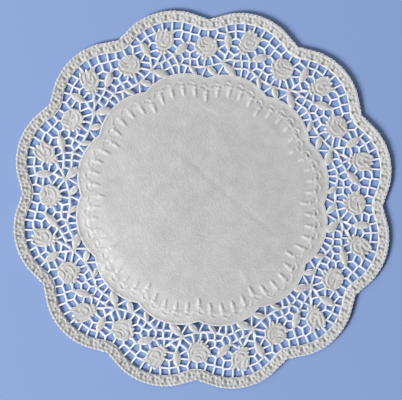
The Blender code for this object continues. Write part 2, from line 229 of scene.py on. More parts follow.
ROSE_FOLDS = [
    Fold(3.6, 0.60, [(-2.6, 5.6), (0.2, 5.6), (2.2, 6.0)]),                   # back petal
    Fold(1.2, 0.75, [(-4.6, 5.8), (-3.0, 4.4), (-1.1, 3.5), (1.2, 4.4), (2.9, 6.2)]),
    Fold(1.6, 0.95, [(-1.6, 7.4), (-0.2, 7.7)]),
    Fold(1.6, 0.95, [(0.8, 7.2), (2.2, 7.2)]),
    Fold(1.2, 0.75, [(-5.6, 5.2), (-4.6, 3.4), (-3.2, 1.3)]),                 # left petals
    Fold(1.7, 0.85, [(-6.3, 2.6), (-5.9, 0.0), (-4.9, -1.5), (-3.2, -1.8), (-2.6, -0.8)]),
    Fold(1.2, 1.05, [(4.2, 3.9), (2.4, 2.6), (0.4, 1.4), (-0.9, 0.6)]),       # the heart
    Fold(1.0, 0.95, [(3.2, 1.0), (1.6, -0.2), (0.2, -1.1)]),
    Fold(1.7, 0.80, [(5.1, 2.4), (5.1, 0.2), (4.0, -2.2), (1.8, -3.7), (-1.2, -4.4)]),
    Fold(1.5, 0.75, [(5.1, 7.3), (6.2, 4.6), (7.6, 2.0), (7.3, -1.2), (6.8, -3.8)]),
    Fold(1.1, 0.60, [(-5.9, 5.4), (-7.3, 3.8), (-7.7, 1.8)]),
    Fold(1.8, 0.95, [(-8.3, -3.0), (-6.4, -4.4)]),
    Fold(2.2, 0.90, [(-5.2, -6.6), (-4.2, -5.6), (-2.6, -6.0)]),
    Fold(1.6, 1.20, [(-0.6, -6.9), (-0.3, -9.3)]),                            # sepals below it
    Fold(1.5, 1.05, [(2.1, -6.6), (2.4, -9.2)]),
    Fold(1.6, 1.00, [(5.0, -6.0), (6.0, -7.7)]),
    Fold(1.3, -0.75, [(-4.9, 4.6), (-3.3, 3.2), (-1.2, 2.3), (1.0, 2.8), (2.9, 4.0), (4.0, 5.6)]),
    Fold(0.9, -0.40, [(-5.0, 2.0), (-4.2, 0.2)]),
    Fold(1.1, -0.65, [(-2.7, 0.8), (-2.0, -0.4)]),
    Fold(0.8, -0.30, [(3.2, 2.1), (1.4, 0.8), (-0.1, -0.3)]),
    Fold(0.9, -0.40, [(4.2, 1.8), (3.4, -0.6), (1.8, -1.8), (0.0, -2.7)]),
    Fold(1.2, -0.60, [(-7.0, -0.4), (-6.3, -2.2), (-4.6, -3.4), (-2.4, -4.0)]),
    Fold(1.1, -0.40, [(6.3, 2.8), (6.4, -0.6), (5.4, -3.2), (3.6, -4.8), (1.0, -5.6),
                      (-1.4, -5.4)]),
]
ROSE_BEADS = [
    Bead(-8.8, -0.6, 1.4, 0.85), Bead(7.9, 1.5, 1.2, 0.85), Bead(6.8, -4.0, 1.2, 0.75),
    Bead(5.2, 7.1, 1.1, 1.00),
]
CUP_HEIGHT = 0.30
CUP_TOP = 0.84              # share of a cup's radius where its sloping side ends

# The border is eight flowers of pearls to a scallop, the one in the valley upside down, with a
# pit, an oval and an arc between each two. A pearl is its place along the border and inwards from
# the band's middle line, its radius and its height.
FIELDS = 8
FLOWER = [
    (-1.60, -2.80, 1.20, 0.80), (1.60, -2.80, 1.20, 0.80),
    (-2.75, 0.25, 1.25, 0.85), (2.75, 0.25, 1.25, 0.85),
    (0.00, 1.95, 1.15, 1.00), (0.00, 2.85, 1.10, 0.90), (0.00, -0.70, 0.90, 0.20),
]
VALLEY_FLOWER = [
    (0.00, -2.20, 1.30, 0.85),
    (-2.75, -0.10, 1.25, 0.85), (2.75, -0.10, 1.25, 0.85),
    (-1.35, 2.80, 1.20, 0.85), (1.35, 2.80, 1.20, 0.85), (0.00, 0.40, 0.90, 0.30),
]
PIT = Fold(1.2, -0.95, [(0.0, -0.9), (0.0, 2.4)])
OVAL = Fold(1.9, 0.85, [(-0.9, -3.0), (0.9, -3.0)])
ARC = Fold(1.2, 0.90, [(-2.6, 2.3), (-1.4, 3.3), (0.0, 3.7), (1.4, 3.3), (2.6, 2.3)])
CUSHION = 0.12              # how far the whole band swells

# The ring pressed around the middle: the angle in degrees clockwise from the scallop's axis, and
# the distance out.
DROPS = [(-15, 84.0), (-9, 88.0), (-3, 89.8), (3, 89.8), (9, 88.0)]
DROP_START = 1.2
DROP_LENGTH = 7.0
DROP_WIDTH = 3.8
DROP_HEIGHT = 0.82
DROP_BEAD = Fold(2.4, 1.35, [(-0.6, 0.0), (0.6, 0.0)])
DROP_SIDE = Fold(1.4, -0.18, [(2.3, -1.0), (2.3, -3.6), (1.7, -6.4)])     # a groove on either side
CRESCENTS = [(-10.7, 89.5), (-4.7, 91.9), (1.3, 92.4), (7.3, 91.0), (13.6, 87.8)]
CRESCENT_FOLDS = [
    Fold(1.7, -0.35, [(-2.2, -0.9), (-1.1, 0.1), (0.0, 0.4), (1.1, 0.1), (2.2, -0.9)]),
    Fold(1.2, 0.45, [(-2.8, -1.3), (-2.3, 0.5), (-1.1, 1.6), (0.0, 1.9), (1.1, 1.6), (2.3, 0.5),
                     (2.8, -1.1)]),
    Fold(1.0, 0.42, [(-4.8, -1.7), (-2.3, -1.4), (0.2, -1.3), (1.8, -1.5)]),  # the line below it
]

# Creases and soft ridges from folding and handling, as places to the right of the doily's centre
# and up from it. "left" and "right" are how far each reaches on both sides of its line; a trough
# has a height below zero.
Crease = namedtuple("Crease", "left right height places")
CREASES = [
    Crease(5.0, 1.6, -0.17, [(-24, 58), (-8, 37), (3, 22), (14, 7), (24, -7), (34, -20)]),
    Crease(4.0, 1.6, -0.14, [(30, -14), (40, -28), (50, -41)]),
    Crease(6.0, 1.8, 0.26, [(15, 72), (21, 68), (28, 63)]),
    Crease(8.0, 6.0, -0.07, [(24, 58), (36, 44), (44, 28)]),
    Crease(7.0, 5.0, -0.07, [(50, 2), (56, -10), (62, -24)]),
    Crease(4.0, 1.6, -0.26, [(-81, -2), (-78, -9), (-74, -17)]),
    Crease(120.0, 29.0, 3.20, [(-63, 37), (-72, 6), (-68, -25), (-51, -51), (-25, -68)]),
    Crease(5.0, 1.8, 0.24, [(17, -61), (18, -67), (20, -74)]),
    Crease(9.0, 8.0, 0.12, [(-50, 24), (-30, 6), (-12, -20)]),
    Crease(9.0, 8.0, -0.14, [(-20, -30), (4, -40), (26, -52)]),
]


# -------- pressed forms

# One stretch of a pressed form: a straight line with a half width and a height at both ends. A
# height below zero is a pit.
Stretch = namedtuple("Stretch", "x0 y0 x1 y1 half0 half1 height0 height1")


def smooth_line(places, step=1.0):
    """A smooth line through all of these places, as points about one step apart."""
    ends = [2 * places[0] - places[1], *places, 2 * places[-1] - places[-2]]
    line = []
    for before, start, end, after in zip(ends, ends[1:], ends[2:], ends[3:]):
        count = max(1, round(float(np.linalg.norm(end - start)) / step))
        for t in np.arange(count) / count:
            line.append(0.5 * (2 * start + (end - before) * t
                               + (2 * before - 5 * start + 4 * end - after) * t ** 2
                               + (3 * start - before - 3 * end + after) * t ** 3))
    return np.array(line + [places[-1]])


def petal_like(along):
    return 0.65 + 0.35 * np.sin(math.pi * along)


def leaf_like(along):
    return np.sin(math.pi * along) ** 0.7


def drop_like(along):
    """Round and fullest near its outer end, then tapering to a point."""
    fullest = 0.25
    rounded = np.sin(math.pi * np.minimum(along / fullest, 1) / 2)
    return rounded * (1 - (np.maximum(along - fullest, 0) / (1 - fullest)) ** 1.8)


def crease_like(along):
    return np.sqrt(np.sin(math.pi * along))


def directions(turn):
    """The way out from a centre at each of these angles, clockwise from straight out."""
    return np.stack([np.sin(turn), np.cos(turn)], axis=1)


def all_round(count):
    return np.arange(count) * 2 * math.pi / count


def asides(line):
    """The direction square to a line, at each of its points."""
    run = np.gradient(line, axis=0)
    aside = np.stack([-run[:, 1], run[:, 0]], axis=1)
    return aside / np.linalg.norm(aside, axis=1)[:, None]


class Run:
    """A pressed form along a line: its points, and the half width and height at each."""

    def __init__(self, places, width, height, shape=np.ones_like, rows=(0, 1), step=1.0):
        places = [np.array(place, float) for place in places]
        self.line = smooth_line(places, step) if len(places) > 1 else np.array(places)
        steps = np.linalg.norm(np.diff(self.line, axis=0), axis=1)
        along = np.concatenate([[0], np.cumsum(steps)])
        share = shape(along / max(along[-1], 1e-9))
        self.half = np.maximum(width / 2 * share, THINNEST)
        self.top = height * share ** 0.6
        self.rows = rows

    def stretches(self):
        """The form as stretches; a bead is one without length."""
        pairs = [(i, i + 1) for i in range(len(self.line) - 1)] or [(0, 0)]
        return [Stretch(*self.line[i], *self.line[j], self.half[i], self.half[j],
                        self.top[i], self.top[j]) for i, j in pairs]

    def corners(self):
        """Where the sheet needs corners to take this form: in rows along it, or rings round it."""
        if len(self.line) == 1:
            return self.rings()
        aside = asides(self.line)
        found = []
        for row in self.rows:
            for side in ((1, -1) if row else (1,)):
                found.append(self.line + aside * (side * row * self.half)[:, None])
        return np.concatenate(found)

    def rings(self):
        found = [self.line]
        for row, count in ((0.55, 5), (1.0, 8)):
            found.append(self.line + directions(all_round(count)) * row * self.half[0])
        return np.concatenate(found)


def moved(places, across, out, axis):
    """Places measured from some middle, and turned clockwise by an angle, in the repeat."""
    cos, sin = math.cos(axis), math.sin(axis)
    return [(across + x * cos + y * sin, out - x * sin + y * cos) for x, y in places]


def rotated(places, angle):
    """The same places, turned anticlockwise about the centre."""
    cos, sin = math.cos(angle), math.sin(angle)
    return np.stack([places[:, 0] * cos - places[:, 1] * sin,
                     places[:, 0] * sin + places[:, 1] * cos], axis=1)


def in_three(places):
    """The same places of the repeat and of both its neighbours."""
    return np.concatenate([rotated(places, turns * TURN) for turns in (-1, 0, 1)])


def bead(form):
    return Run([(form.across, form.out)], 2 * form.radius, form.height)


def laid(fold, across, out, axis=0.0, mirror=(1, 1), rows=(0, 1)):
    """A fold as a form about some middle: first mirrored, then turned clockwise by an angle."""
    places = [(x * mirror[0], y * mirror[1]) for x, y in fold.places]
    return Run(moved(places, across, out, axis), fold.width, fold.height, petal_like, rows)


def ringed(degrees, out):
    """A place of the ring around the middle, in the repeat."""
    turn = math.radians(degrees)
    return out * math.sin(turn), out * math.cos(turn)


# -------- the flat pattern

def lobe_distance(places, centre, blend):
    """Distance to the nearest of the twelve lobe centres, softened where two are equally near."""
    reach = np.hypot(places[:, 0], places[:, 1])
    turn = np.arctan2(places[:, 0], places[:, 1])
    turn = np.abs((turn + TURN / 2) % TURN - TURN / 2)
    near = np.hypot(reach * np.sin(turn), reach * np.cos(turn) - centre)
    far = np.hypot(reach * np.sin(TURN - turn), reach * np.cos(TURN - turn) - centre)
    if not blend:
        return near
    overlap = np.maximum(blend - (far - near), 0) / blend
    return near - overlap ** 2 * blend / 4


def depth_in_border(places):
    """How far places lie inside the doily's edge, as if it had no pearls."""
    return LOBE_RADIUS - lobe_distance(places, TIP_RADIUS - LOBE_RADIUS, BORDER_BLEND)


def outside_lobes(places):
    return lobe_distance(places, TIP_RADIUS - LOBE_RADIUS, LOBE_BLEND) - LOBE_RADIUS


def outside_middle(places):
    return lobe_distance(places, DISC_RADIUS - DISC_LOBE_RADIUS, 0) - DISC_LOBE_RADIUS


def measured(places, rows):
    """For each place and each stretch: how far off its line, and how far along it."""
    x, y = places[:, :1], places[:, 1:]
    x0, y0, x1, y1 = rows.T[:4]
    run_x, run_y = x1 - x0, y1 - y0
    length = np.maximum(run_x ** 2 + run_y ** 2, 1e-9)
    along = np.clip(((x - x0) * run_x + (y - y0) * run_y) / length, 0, 1)
    return np.hypot(x - x0 - along * run_x, y - y0 - along * run_y), along


def outside_forms(places, rows):
    """Distance outside the nearest of the pressed forms; negative inside it."""
    off, along = measured(places, rows)
    half0, half1 = rows.T[4:6]
    return (off - half0 - (half1 - half0) * along).min(axis=1)


def domes(places, rows):
    """Height of the highest dome, or of the deepest pit, at each place."""
    off, along = measured(places, rows)
    half0, half1, height0, height1 = rows.T[4:]
    reach = off / (half0 + (half1 - half0) * along)
    height = (height0 + (height1 - height0) * along) * np.maximum(1 - reach ** 2, 0)
    pit = height0 < 0
    return np.where(pit, height, 0).min(axis=1), np.where(pit, 0, height).max(axis=1)


def around(runs):
    """The stretches of these forms in the repeat and in both of its neighbours."""
    return stretches_in_three([stretch for run in runs for stretch in run.stretches()])


def stretches_in_three(stretches):
    rows = np.array(stretches)
    return np.concatenate([in_three(rows[:, :2]), in_three(rows[:, 2:4]),
                           np.tile(rows[:, 4:], (3, 1))], axis=1)


# -------- leaves, stems and roses

def leaves():
    """Each is a low dome with a hollow along its midrib."""
    found = []
    for leaf in LEAVES:
        tip = np.array([leaf.across, leaf.out])
        run = np.array([leaf.to_across, leaf.to_out]) - tip
        found.append(Run([tip, tip + run], leaf.width, leaf.height, leaf_like, rows=(0, 0.5, 1)))
        if leaf.hollow:
            found.append(Run([tip + share * run for share in HOLLOW_ENDS],
                             HOLLOW_WIDTH * leaf.width, -leaf.hollow, petal_like, rows=(0, 1)))
    return found


def stems():
    return [Run(stem.places, stem.width, STEM_HEIGHT, step=1.3) for stem in STEMS]


def rose_cup(rose):
    return Run([(rose.across, rose.out)], 2 * rose.cup_radius, 0)


def rose_folds(rose, folds, beads):
    found = [laid(fold, rose.across, rose.out) for fold in folds]
    for form in beads:
        across, out = rose.across + form.across, rose.out + form.out
        found.append(bead(form._replace(across=across, out=out)))
    return found


def cup_height(places, rose):
    """Height of a rose's cup, a low boss with sloping sides."""
    reach = np.hypot(places[:, 0] - rose.across, places[:, 1] - rose.out)
    return CUP_HEIGHT * np.clip((1 - reach / rose.cup_radius) / (1 - CUP_TOP), 0, 1)


def cup_corners(rose):
    """Two rings of corners where a cup's sloping side starts and ends."""
    rings = [directions(all_round(count)) * share * rose.cup_radius
             for share, count in ((1.0, 30), (CUP_TOP, 24))]
    return np.concatenate(rings) + (rose.across, rose.out)


STEM_LINES = around(stems())[:, :4]


# -------- the beaded border

def limit(outward, low, high, inside):
    """Where each of these directions leaves what is inside, between two distances out."""
    low = np.full(len(outward), low)
    high = np.full(len(outward), high)
    for _ in range(HALVINGS):
        middle = (low + high) / 2
        passed = inside(outward * middle[:, None])
        low = np.where(passed, middle, low)
        high = np.where(passed, high, middle)
    return outward * low[:, None]


def on_border(turn):
    """The place on the border's middle line at an angle, clockwise from the scallop's axis."""
    return limit(np.array([[math.sin(turn), math.cos(turn)]]), TIP_RADIUS - LOBE_RADIUS, TIP_RADIUS,
                 lambda places: depth_in_border(places) > BORDER_WIDTH / 2)[0]


def stamped(turn, pearls, folds=()):
    """The pearls and folds of one stamp on the border."""
    across, out = on_border(turn)
    run = on_border(turn + 0.005) - on_border(turn - 0.005)
    axis = math.atan2(-run[1], run[0])
    found = []
    for along, inward, radius, height in pearls:
        place = moved([(along, -inward)], across, out, axis)[0]
        found.append(bead(Bead(*place, radius, height)))
    return found + [laid(fold, across, out, axis, mirror=(1, -1)) for fold in folds]


def border_forms():
    """All pearls, pits, ovals and arcs of one scallop's border."""
    found = []
    for field in range(-FIELDS // 2 + 1, FIELDS // 2 + 1):
        flower = VALLEY_FLOWER if field == FIELDS // 2 else FLOWER
        found += stamped(field * TURN / FIELDS, flower)
        found += stamped((field - 0.5) * TURN / FIELDS, (), [PIT, OVAL, ARC])
    return found


# -------- the ring around the middle

def drops():
    """Each drop points inwards, with a small bead at its outer end."""
    found = []
    for degrees, out in DROPS:
        outer = np.array(ringed(degrees, out))
        axis = math.radians(degrees)
        inwards = -outer / np.linalg.norm(outer)
        start = outer + inwards * DROP_START
        found.append(Run([start, start + inwards * DROP_LENGTH], DROP_WIDTH, DROP_HEIGHT, drop_like,
                         rows=(0, 0.55, 1), step=0.9))
        found.append(Run(moved(DROP_BEAD.places, *outer, axis), DROP_BEAD.width, DROP_BEAD.height,
                         step=0.6))
        found += [laid(DROP_SIDE, *outer, axis, (side, 1), rows=(0,)) for side in (1, -1)]
    return found


def crescents():
    """A pit like an eyelid under a raised arc, between each two drops."""
    found = []
    for place in CRESCENTS:
        across, out = ringed(*place)
        axis = math.atan2(across, out - (DISC_RADIUS - DISC_LOBE_RADIUS))
        found += [laid(fold, across, out, axis) for fold in CRESCENT_FOLDS]
    return found


# -------- the net

def same_distance(a, b, c):
    """The place that is equally far from all three."""
    b, c = b - a, c - a
    return a + np.array([c[1] * b.dot(b) - b[1] * c.dot(c),
                         b[0] * c.dot(c) - c[0] * b.dot(b)]) / (2 * (b[0] * c[1] - b[1] * c[0]))


def net_bars():
    """The net's bars: each lies halfway between two openings, from corner to corner of the net."""
    places = list(in_three(np.array(OPENINGS)))
    # Places well outside the edge and inside the middle close the net on both sides.
    for step in range(-12, 13):
        turn = step * TURN / 6
        for reach in (TIP_RADIUS + 25, DISC_RADIUS - 40):
            places.append(np.array([reach * math.sin(turn), reach * math.cos(turn)]))
    triangles = delaunay_2d_cdt([Vector(place) for place in places], [], [], 0, 1e-6)[2]
    corners = [same_distance(*(places[corner] for corner in triangle)) for triangle in triangles]
    sides = {}
    for number, triangle in enumerate(triangles):
        for side in combinations(sorted(triangle), 2):
            sides.setdefault(side, []).append(number)
    bars = []
    for numbers in sides.values():
        if len(numbers) == 2:
            start, end = (corners[number] for number in numbers)
            middle = (start + end) / 2
            in_repeat = abs(math.atan2(middle[0], middle[1])) <= TURN / 2 + 0.01
            if in_repeat and np.linalg.norm(end - start) > 0.05:
                bars.append((start, end))
    return bars


def bar_runs(bars, motifs):
    """The bars as forms, without what would lie in a motif, the band or the middle."""
    found = []
    for start, end in bars:
        count = max(2, round(float(np.linalg.norm(end - start)) / BAR_STEP))
        places = start + (end - start) * (np.arange(count + 1) / count)[:, None]
        clear = np.nonzero(in_net(places, motifs) > 0)[0]
        if len(clear) and (clear[-1] - clear[0]) * BAR_STEP > SHORTEST_BAR:
            found.append(Run([places[clear[0]], places[clear[-1]]], BAR, BAR_HEIGHT, rows=(0,),
                             step=1.25))
    return found


def net_knots(bars, motifs):
    """The knots where the net's bars meet."""
    ends = np.array([end for bar in bars for end in bar])
    ends = thinned([(ends[in_net(ends, motifs) > -KNOT_REACH], KNOT_GAP)])
    return [bead(Bead(*end, KNOT_RADIUS, KNOT_HEIGHT)) for end in ends]


def walls_of_net(places, motifs):
    """Distances from the band, from the middle and from the nearest motif."""
    return [depth_in_border(places) - BORDER_WIDTH, outside_middle(places) - DISC_MARGIN,
            outside_forms(places, motifs) - MOTIF_MARGIN]


def in_net(places, motifs):
    """Distance from the nearest of these; above zero in the net."""
    return np.minimum.reduce(walls_of_net(places, motifs))


# -------- the cut outlines

def room(places, own, others, motifs):
    """How far places inside an opening are from the paper around it; its corners are rounded."""
    from_own = ((places - own) ** 2).sum(axis=1)
    walls = walls_of_net(places, motifs)
    for *other, half in others:
        from_other = ((places - other) ** 2).sum(axis=1)
        walls.append((from_other - from_own) / (2 * np.linalg.norm(other - own)) - half)
    walls = np.array(walls)
    nearest = walls.min(axis=0)
    crowd = np.exp((nearest - walls) / CORNER_ROUND).sum(axis=0)
    return nearest - CORNER_ROUND * np.log(crowd)


def neighbours(own, openings):
    """The openings that may share a bar with this one, and half that bar's width.

    Where a stem runs between the two it takes the bar's place, and hardly more is left.
    """
    apart = np.linalg.norm(openings - own, axis=1)
    others = openings[(apart > 0.01) & (apart < NEIGHBOUR_REACH)]
    start, end = STEM_LINES[:, :2], STEM_LINES[:, 2:]
    found = []
    for other in others:
        over = side_of(own, other, start) * side_of(own, other, end) < 0
        over &= side_of(start, end, own[None]) * side_of(start, end, other[None]) < 0
        found.append((*other, BESIDE_STEM if over.any() else BAR / 2))
    return found


def side_of(start, end, places):
    """Above zero where places lie to the left of the way from start to end."""
    run_x, run_y = (end - start).T
    x0, y0 = start.T
    return run_x * (places[:, 1] - y0) - run_y * (places[:, 0] - x0)


def near_rows(own, rows):
    """The stretches that come near an opening."""
    return rows[measured(own[None, :], rows)[0][0] < NEIGHBOUR_REACH]


def simplified(corners):
    """Drop the corners that take up least area, until each one left is worth keeping."""
    corners = [tuple(corner) for corner in corners]
    while True:
        before = np.array(corners[-1:] + corners[:-1])
        after = np.array(corners[1:] + corners[:1])
        here = np.array(corners)
        area = np.abs((after[:, 0] - before[:, 0]) * (here[:, 1] - before[:, 1])
                      - (after[:, 1] - before[:, 1]) * (here[:, 0] - before[:, 0])) / 2
        if area.min() > SMALLEST_CORNER:
            return here
        corners.pop(int(area.argmin()))


def opening_outline(own, openings, motifs):
    """The corners of the opening around a place, anticlockwise."""
    outward = directions(all_round(RAYS))[:, ::-1]
    others = neighbours(own, openings)
    rows = near_rows(own, motifs)
    reach = np.zeros(RAYS)
    for _ in range(RAY_STEPS):
        reach += RAY_STEP * room(own + outward * reach[:, None], own, others, rows)
    return simplified(own + outward * reach[:, None])


def edge_outline(outer):
    """The doily's edge over one scallop, anticlockwise; it swells a little at each outer pearl."""
    rows = around(outer)
    rows[:, 4:6] += EDGE_RIM

    def inside(places):
        band = outside_lobes(places) + EDGE_NOTCH
        return np.minimum(band, outside_forms(places, rows)) < 0

    turn = TURN / 2 - np.arange(EDGE_CORNERS) * TURN / EDGE_CORNERS
    return limit(directions(turn), *OUTER_EDGE, inside)


def cut_distance(places, openings, motifs):
    """How far places are from the nearest opening; below zero inside one."""
    nearest = np.linalg.norm(places[:, None] - openings[None], axis=2).argmin(axis=1)
    gap = np.zeros(len(places))
    for number in np.unique(nearest):
        chosen = nearest == number
        own = openings[number]
        gap[chosen] = -room(places[chosen], own, neighbours(own, openings), near_rows(own, motifs))
    return gap


# -------- the relief

def pressed_height(places, pattern):
    """Height above the unpressed paper at each place of a repeat."""
    pits, raised = domes(places, pattern.pressed)
    bars = domes(places, pattern.net)[1] * np.clip(in_net(places, pattern.broad) / BAR_FADE, 0, 1)
    raised = np.maximum(raised, bars)
    for turns in (-1, 0, 1):
        for rose in (BUD, ROSE):
            raised = np.maximum(raised, cup_height(rotated(places, turns * TURN), rose))
    across_band = (depth_in_border(places) / BORDER_WIDTH - 0.5) * 2
    cushion = CUSHION * np.clip(1 - across_band ** 2, 0, 1)
    inside = -outside_middle(places)
    rim = RIM_HEIGHT * np.clip(1 - ((inside - RIM_INSET) / RIM_HALF) ** 2, 0, 1)
    return PRESSING * (np.maximum(raised, rim) + cushion + pits)


def rim_corners():
    """Corners along the raised line at the middle's edge, and on both sides of it."""
    outward = directions((np.arange(RIM_CORNERS) / RIM_CORNERS - 0.5) * TURN)
    insets = (-DISC_MARGIN * 0.2, RIM_INSET, RIM_INSET + RIM_HALF)
    return np.concatenate([
        limit(outward, *MIDDLE_EDGE, lambda places, inset=inset: outside_middle(places) < -inset)
        for inset in insets])


def plain_corners():
    """Loose corners that keep the triangles of plain paper even around the pattern."""
    found = []
    step = FILL * ROW
    for out in np.arange(MIDDLE_RADIUS, TIP_RADIUS, step):
        across = np.arange(-HALF_REPEAT, HALF_REPEAT, FILL) + round(out / step) % 2 * FILL / 2
        found.append(np.stack([across, np.full_like(across, out)], axis=1))
    return np.concatenate(found)


def middle_corners():
    """Corners of the plain middle: in rows along its creases, and loose ones between them."""
    rows = []
    for crease in CREASES:
        line = smooth_line([np.array(place, float) for place in crease.places],
                           max(2.0, crease.left / 2))
        aside = asides(line)
        for share in (0.0, 0.55, 1.0):
            rows += [line + aside * share * crease.left, line - aside * share * crease.right]
    side = np.arange(-MIDDLE_RADIUS, MIDDLE_RADIUS, MIDDLE_FILL)
    across, up = np.meshgrid(side, side * ROW)
    across += (np.arange(len(side)) % 2)[:, None] * MIDDLE_FILL / 2
    loose = np.stack([across.ravel(), up.ravel()], axis=1)
    found = thinned([(np.concatenate(rows), CREASE_GAP), (loose, MIDDLE_GAP)])
    return found[np.hypot(*found.T) < MIDDLE_RADIUS]


def thinned(groups):
    """The places of these groups, each with its gap, that aren't too close to one taken before."""
    taken = {}
    kept = []
    cell_size = max(gap for _, gap in groups)
    for places, gap in groups:
        for place in places:
            cell = (math.floor(place[0] / cell_size), math.floor(place[1] / cell_size))
            crowd = [other for i in (-1, 0, 1) for j in (-1, 0, 1)
                     for other in taken.get((cell[0] + i, cell[1] + j), ())]
            if all(math.dist(place, other) >= gap for other in crowd):
                taken.setdefault(cell, []).append(place)
                kept.append(place)
    return np.array(kept)


# -------- the sheet

Pattern = namedtuple("Pattern", "openings motifs broad net pressed edge outlines")


def one_repeat():
    """All that the sheet repeats: the rows of its forms, its outlines, and its corners."""
    openings = in_three(np.array(OPENINGS))
    cups = [rose_cup(BUD), rose_cup(ROSE)]
    flowers = rose_folds(BUD, BUD_FOLDS, BUD_BEADS) + rose_folds(ROSE, ROSE_FOLDS, ROSE_BEADS)
    grown = leaves() + flowers
    lines = stems() + [bead(knot) for knot in KNOTS]
    motifs = around(grown + cups + lines)
    broad = around(grown + cups)
    border = border_forms()
    outer = [run for run in border
             if run.top[0] > 0 and depth_in_border(run.line).mean() < BORDER_WIDTH / 4]
    forms = grown + lines + border + drops() + crescents()
    bars = net_bars()
    knots = net_knots(bars, broad)
    bars = bar_runs(bars, motifs)
    outlines = [opening_outline(np.array(place), openings, motifs) for place in OPENINGS]
    pattern = Pattern(openings, motifs, broad, around(bars + knots), around(forms),
                      edge_outline(outer), outlines)
    ridges = np.concatenate([run.line for run in forms])
    feet = np.concatenate([run.corners() for run in forms]
                          + [cup_corners(BUD), cup_corners(ROSE), rim_corners()])
    net = np.concatenate([run.line for run in bars + knots])
    groups = [(ridges, RIDGE_GAP), (net, NET_GAP), (feet, FOOT_GAP), (plain_corners(), FLAT_GAP)]
    corners = thinned([(on_paper(spread(places), pattern), gap) for places, gap in groups])
    turn = np.arctan2(corners[:, 0], corners[:, 1])
    return pattern, corners[(turn >= -TURN / 2) & (turn < TURN / 2)]


def spread(places):
    """These places, also as the neighbours' ones that reach into the repeat."""
    found = in_three(places)
    turn = np.arctan2(found[:, 0], found[:, 1])
    return found[np.abs(turn) < TURN / 2 + 0.03]


def on_paper(places, pattern):
    """Those places that are on the paper, clear of every cut."""
    gap = cut_distance(places, pattern.openings, pattern.motifs)
    edge = stretches_in_three([Stretch(*start, *end, 0, 0, 0, 0)
                               for start, end in zip(pattern.edge, pattern.edge[1:])])
    # In parts, to save memory.
    clear = [outside_forms(part, edge) for part in np.array_split(places, 50)]
    clear = np.concatenate(clear)
    return places[(gap > CUT_ROOM) & (outside_lobes(places) < 0) & (clear > CUT_ROOM)]


def loop_sides(loops):
    """The sides of each loop, as the numbers of the corners where they start and end."""
    sides = []
    first = 0
    for loop in loops:
        starts = first + np.arange(len(loop))
        sides.append((starts, np.roll(starts, -1)))
        first += len(loop)
    return sides


def filled(places, sides):
    """Triangles between the first loop and the others, which are openings, through all places."""
    rims = [starts.tolist() for starts, _ in sides]
    places = [Vector(place) for place in places]
    _, _, faces, sources, _, rims_around = delaunay_2d_cdt(places, [], rims, 0, 1e-5)
    return np.array([[sources[corner][0] for corner in face]
                     for face, inside in zip(faces, rims_around) if inside == [0]])


def cut_walls(sides, count):
    """Two triangles for each side of a loop, down to the back, whose corners come count later."""
    walls = []
    for starts, ends in sides:
        if starts[0]:
            starts, ends = ends, starts
        walls.append(np.stack([starts + count, ends + count, ends], axis=1))
        walls.append(np.stack([starts + count, ends, starts], axis=1))
    return walls


def on_table(places, repeat):
    """Places of a repeat on the table: the first scallop's tip is on +X."""
    return rotated(places, TURN * repeat - math.pi / 2)


def pressed_values(places, pattern):
    """Height over the unpressed paper, painted highlight and painted shade in the pits, at each
    place.
    """
    return np.column_stack([pressed_height(places, pattern), painted_highlight(places, pattern),
                            depth_share(places, pattern)])


def paper_sheet(pattern, corners):
    """The closed mesh of the sheet: its face, its hollow back and the cut edges between them."""
    loops = [np.concatenate([on_table(pattern.edge, repeat) for repeat in range(REPEATS)])]
    loops += [on_table(outline, repeat) for repeat in range(REPEATS)
              for outline in pattern.outlines]
    middle = middle_corners()
    inside = [on_table(corners, repeat) for repeat in range(REPEATS)] + [middle]
    places = np.concatenate(loops + inside)
    repeated = (pattern.edge, np.concatenate(pattern.outlines), corners)
    values = [np.tile(pressed_values(group, pattern), (REPEATS, 1)) for group in repeated]
    height, light, shade_in_pits = np.concatenate(values + [np.zeros((len(middle), 3))]).T
    top = FLAT + height + slow_shape(places) + cockle(places)
    count = len(places)
    sides = loop_sides(loops)
    face = filled(places, sides)
    triangles = np.concatenate([face, face[:, ::-1] + count] + cut_walls(sides, count))
    points = np.concatenate([np.column_stack([places, top]),
                             np.column_stack([places, top - PAPER])]) * MM
    mesh = bpy.data.meshes.new("doily_paper")
    mesh.from_pydata(points.tolist(), [], triangles.tolist())
    mesh.polygons.foreach_set("use_smooth", [True] * len(mesh.polygons))
    keep_cut_edges_sharp(mesh, sides, count)
    # The painted highlight and the painted shade in the pits, as a share at each corner.
    for name, share in (("painted_highlight", light), ("painted_pit_shade", shade_in_pits)):
        attribute = mesh.attributes.new(name, "FLOAT", "POINT")
        attribute.data.foreach_set("value", np.tile(share, 2).astype(np.float32))
    mesh.validate()
    return mesh


def painted_highlight(places, pattern):
    """How strong the painted highlight is at each place: most on the net's bars, with openings all
    around, less on the middle's edge and the tops of the drops.
    """
    ring = directions(all_round(LIGHT_DIRECTIONS))[:, ::-1]
    share = np.zeros(len(places))
    total = 0
    for reach in LIGHT_REACHES:
        near = (places[:, None] + reach * ring).reshape(-1, 2)
        free = cut_distance(near, pattern.openings, pattern.motifs) < 0
        free |= outside_lobes(near) > 0
        weight = reach * math.exp(-(reach / LIGHT_SPREAD) ** 2 / 2)
        share += weight * free.reshape(len(places), -1).mean(axis=1)
        total += weight
    light = np.clip((share / total - LIGHT_START) / (LIGHT_FULL - LIGHT_START), 0, 1)
    # Painted highlight along the middle's edge and on the tops of the drops.
    outside = outside_middle(places)
    on_rim = np.clip(1 - np.abs(outside) / RIM_INSET, 0, 1)
    on_drop = np.clip(domes(places, pattern.pressed)[1], 0, 1) ** 2 * (outside < 0)
    return np.maximum.reduce([light, RIM_LIGHT * on_rim, DROP_LIGHT * on_drop])


